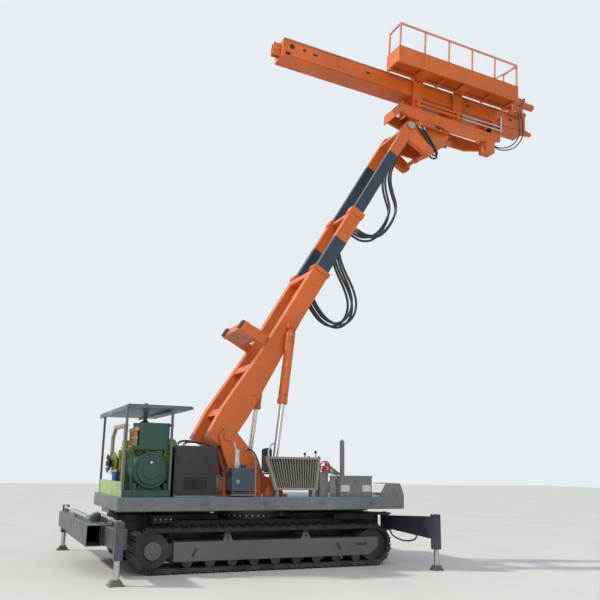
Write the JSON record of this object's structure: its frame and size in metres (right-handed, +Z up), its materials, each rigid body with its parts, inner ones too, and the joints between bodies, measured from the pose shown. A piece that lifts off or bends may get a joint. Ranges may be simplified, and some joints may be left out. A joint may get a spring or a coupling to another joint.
{
  "type": "down-the-hole drilling rig",
  "caption": "Tracked down-the-hole drilling rig: telescopic twin-beam boom on a slewing deck with outriggers, level mast with basket and drill head at its tip.",
  "frame": {"origin": "on the ground under the middle of the machine's bounding box; the slewing axis stands at x -2.218, y -0.4", "axes": "+X towards the front, where the mast reaches out, +Y away from the basket's side, +Z up"},
  "size_m": [10.6156, 5.24, 11.734],
  "materials": {
    "orange_paint": "satin",
    "navy_paint": "satin",
    "red_brown_paint": "satin",
    "grey_paint": "satin",
    "dark_paint": "satin",
    "green_paint": "satin",
    "lime_paint": "satin",
    "beige_paint": "satin",
    "blue_grey_paint": "satin",
    "bare_steel": "worn",
    "rod_chrome": "polished",
    "track_steel": "rough",
    "hose_rubber": "matte",
    "seat_plastic": "matte",
    "filter_blue": "satin",
    "brass_pipe": "satin",
    "red_paint": "satin"
  },
  "bodies": {
    "undercarriage": {"car_body": "dark_paint", "outrigger_box": "dark_paint", "slew_ring": "bare_steel", "track_near": "track_steel", "track_far": "track_steel", "track_frame_near": "grey_paint", "track_frame_far": "grey_paint"},
    "rear_arm_near": {"rear_arm_near": "dark_paint"},
    "rear_arm_far": {"rear_arm_far": "dark_paint"},
    "rear_leg_near": {"rear_leg_near": "grey_paint"},
    "rear_leg_far": {"rear_leg_far": "grey_paint"},
    "front_arm_near": {"front_arm_near": "dark_paint"},
    "front_arm_far": {"front_arm_far": "dark_paint"},
    "front_leg_near": {"front_leg_near": "grey_paint"},
    "front_leg_far": {"front_leg_far": "grey_paint"},
    "deck": {"deck_frame": "grey_paint", "front_cheek": "grey_paint", "engine_skid": "green_paint", "air_drum": "green_paint", "engine": "lime_paint", "fuel_filters": "filter_blue", "cooler_box": "green_paint", "cooler_pipes": "brass_pipe", "canopy": "grey_paint", "air_pipes": "beige_paint", "cabinet": "dark_paint", "oil_tank": "blue_grey_paint", "radiator_guard": "beige_paint", "seat": "seat_plastic", "console": "grey_paint", "hand_wheel": "red_paint", "control_box": "beige_paint", "turret": "red_brown_paint"},
    "boom_base": {"boom_base": "orange_paint", "mast_rest": "orange_paint", "rest_pads": "hose_rubber"},
    "boom_mid": {"boom_mid": "navy_paint", "hose_lower_1": "hose_rubber", "hose_lower_2": "hose_rubber", "hose_lower_3": "hose_rubber", "hose_lower_4": "hose_rubber"},
    "boom_tip": {"boom_tip": "navy_paint", "hose_upper_1": "hose_rubber", "hose_upper_2": "hose_rubber", "hose_upper_3": "hose_rubber", "hose_upper_4": "hose_rubber"},
    "lift_barrels": {"lift_barrels": "orange_paint"},
    "lift_rods": {"lift_rods": "rod_chrome"},
    "head_frame": {"head_frame": "orange_paint"},
    "tilt_barrel": {"tilt_barrel": "orange_paint"},
    "tilt_rod": {"tilt_rod": "rod_chrome"},
    "cradle": {"cradle": "red_brown_paint", "basket": "red_brown_paint", "shift_barrel": "orange_paint"},
    "mast": {"mast_beam": "red_brown_paint", "shift_rods": "rod_chrome"},
    "drill_head": {"drill_head": "orange_paint"},
    "chuck": {"chuck": "bare_steel"}
  },
  "joints": [
    {"name": "slew", "type": "hinge", "parent": "undercarriage", "child": "deck", "pos_m": [-2.2178, -0.4, 0.985], "axis": [0, 0, 1], "continuous": true},
    {"name": "boom_lift", "type": "hinge", "parent": "deck", "child": "boom_base", "pos_m": [-2.8578, -0.4, 2.25], "axis": [0, -1, 0], "range_deg": [-50, 10]},
    {"name": "boom_extend_1", "type": "slide", "parent": "boom_base", "child": "boom_mid", "axis": [0.515, 0, 0.8572], "range_m": [-1.25, 0.9]},
    {"name": "boom_extend_2", "type": "slide", "parent": "boom_mid", "child": "boom_tip", "axis": [0.515, 0, 0.8572], "range_m": [-2.3, 0.2]},
    {"name": "head_tilt", "type": "hinge", "parent": "boom_tip", "child": "head_frame", "pos_m": [1.27122, -0.4, 9.33543], "axis": [0, -1, 0], "range_deg": [-10, 50]},
    {"name": "mast_swivel", "type": "hinge", "parent": "head_frame", "child": "cradle", "pos_m": [1.8922, -0.4, 9.56], "axis": [0.068, 0, 0.9977], "range_deg": [-90, 90]},
    {"name": "mast_shift", "type": "slide", "parent": "cradle", "child": "mast", "axis": [0.9977, 0, -0.068], "range_m": [-0.55, 0.55]},
    {"name": "feed", "type": "slide", "parent": "mast", "child": "drill_head", "axis": [0.9977, 0, -0.068], "range_m": [-5.5, 0.1]},
    {"name": "chuck_spin", "type": "hinge", "parent": "drill_head", "child": "chuck", "pos_m": [4.58684, -0.4, 10.85973], "axis": [0.9977, 0, -0.068], "continuous": true},
    {"name": "lift_swing", "type": "hinge", "parent": "boom_base", "child": "lift_barrels", "pos_m": [-1.65596, -0.4, 4.38611], "axis": [0, -1, 0], "range_deg": [-1.5, 7.1]},
    {"name": "lift_stroke", "type": "slide", "parent": "lift_barrels", "child": "lift_rods", "axis": [-0.1123, 0, -0.9937], "range_m": [-0.96, 0.2]},
    {"name": "tilt_swing", "type": "hinge", "parent": "boom_tip", "child": "tilt_barrel", "pos_m": [1.74766, -0.4, 8.81583], "axis": [0, -1, 0], "range_deg": [-9.1, 45.2]},
    {"name": "tilt_stroke", "type": "slide", "parent": "tilt_barrel", "child": "tilt_rod", "axis": [0.8157, 0, 0.5785], "range_m": [-0.12, 0.59]},
    {"name": "rear_arm_near_slide", "type": "slide", "parent": "undercarriage", "child": "rear_arm_near", "axis": [0, -1, 0], "range_m": [-0.58, 0.7]},
    {"name": "rear_arm_far_slide", "type": "slide", "parent": "undercarriage", "child": "rear_arm_far", "axis": [0, 1, 0], "range_m": [-1.41, 0]},
    {"name": "rear_leg_near_jack", "type": "slide", "parent": "rear_arm_near", "child": "rear_leg_near", "axis": [0, 0, 1], "range_m": [0, 0.24]},
    {"name": "rear_leg_far_jack", "type": "slide", "parent": "rear_arm_far", "child": "rear_leg_far", "axis": [0, 0, 1], "range_m": [0, 0.24]},
    {"name": "front_arm_near_swing", "type": "hinge", "parent": "undercarriage", "child": "front_arm_near", "pos_m": [0.4222, -1.02, 0.72], "axis": [0, 0, 1], "range_deg": [0, 75]},
    {"name": "front_arm_far_swing", "type": "hinge", "parent": "undercarriage", "child": "front_arm_far", "pos_m": [0.4222, 0.22, 0.72], "axis": [0, 0, -1], "range_deg": [0, 75]},
    {"name": "front_leg_near_jack", "type": "slide", "parent": "front_arm_near", "child": "front_leg_near", "axis": [0, 0, 1], "range_m": [0, 0.24]},
    {"name": "front_leg_far_jack", "type": "slide", "parent": "front_arm_far", "child": "front_leg_far", "axis": [0, 0, 1], "range_m": [0, 0.24]}
  ],
  "couplings": [
    {"joint": "head_tilt", "follows": "boom_lift", "ratio": -1},
    {"joint": "lift_swing", "follows": "boom_lift", "ratio": -0.14},
    {"joint": "lift_stroke", "follows": "boom_lift", "m_per_rad": 1.09},
    {"joint": "tilt_swing", "follows": "boom_lift", "ratio": -0.902},
    {"joint": "tilt_stroke", "follows": "boom_lift", "m_per_rad": -0.673}
  ]
}
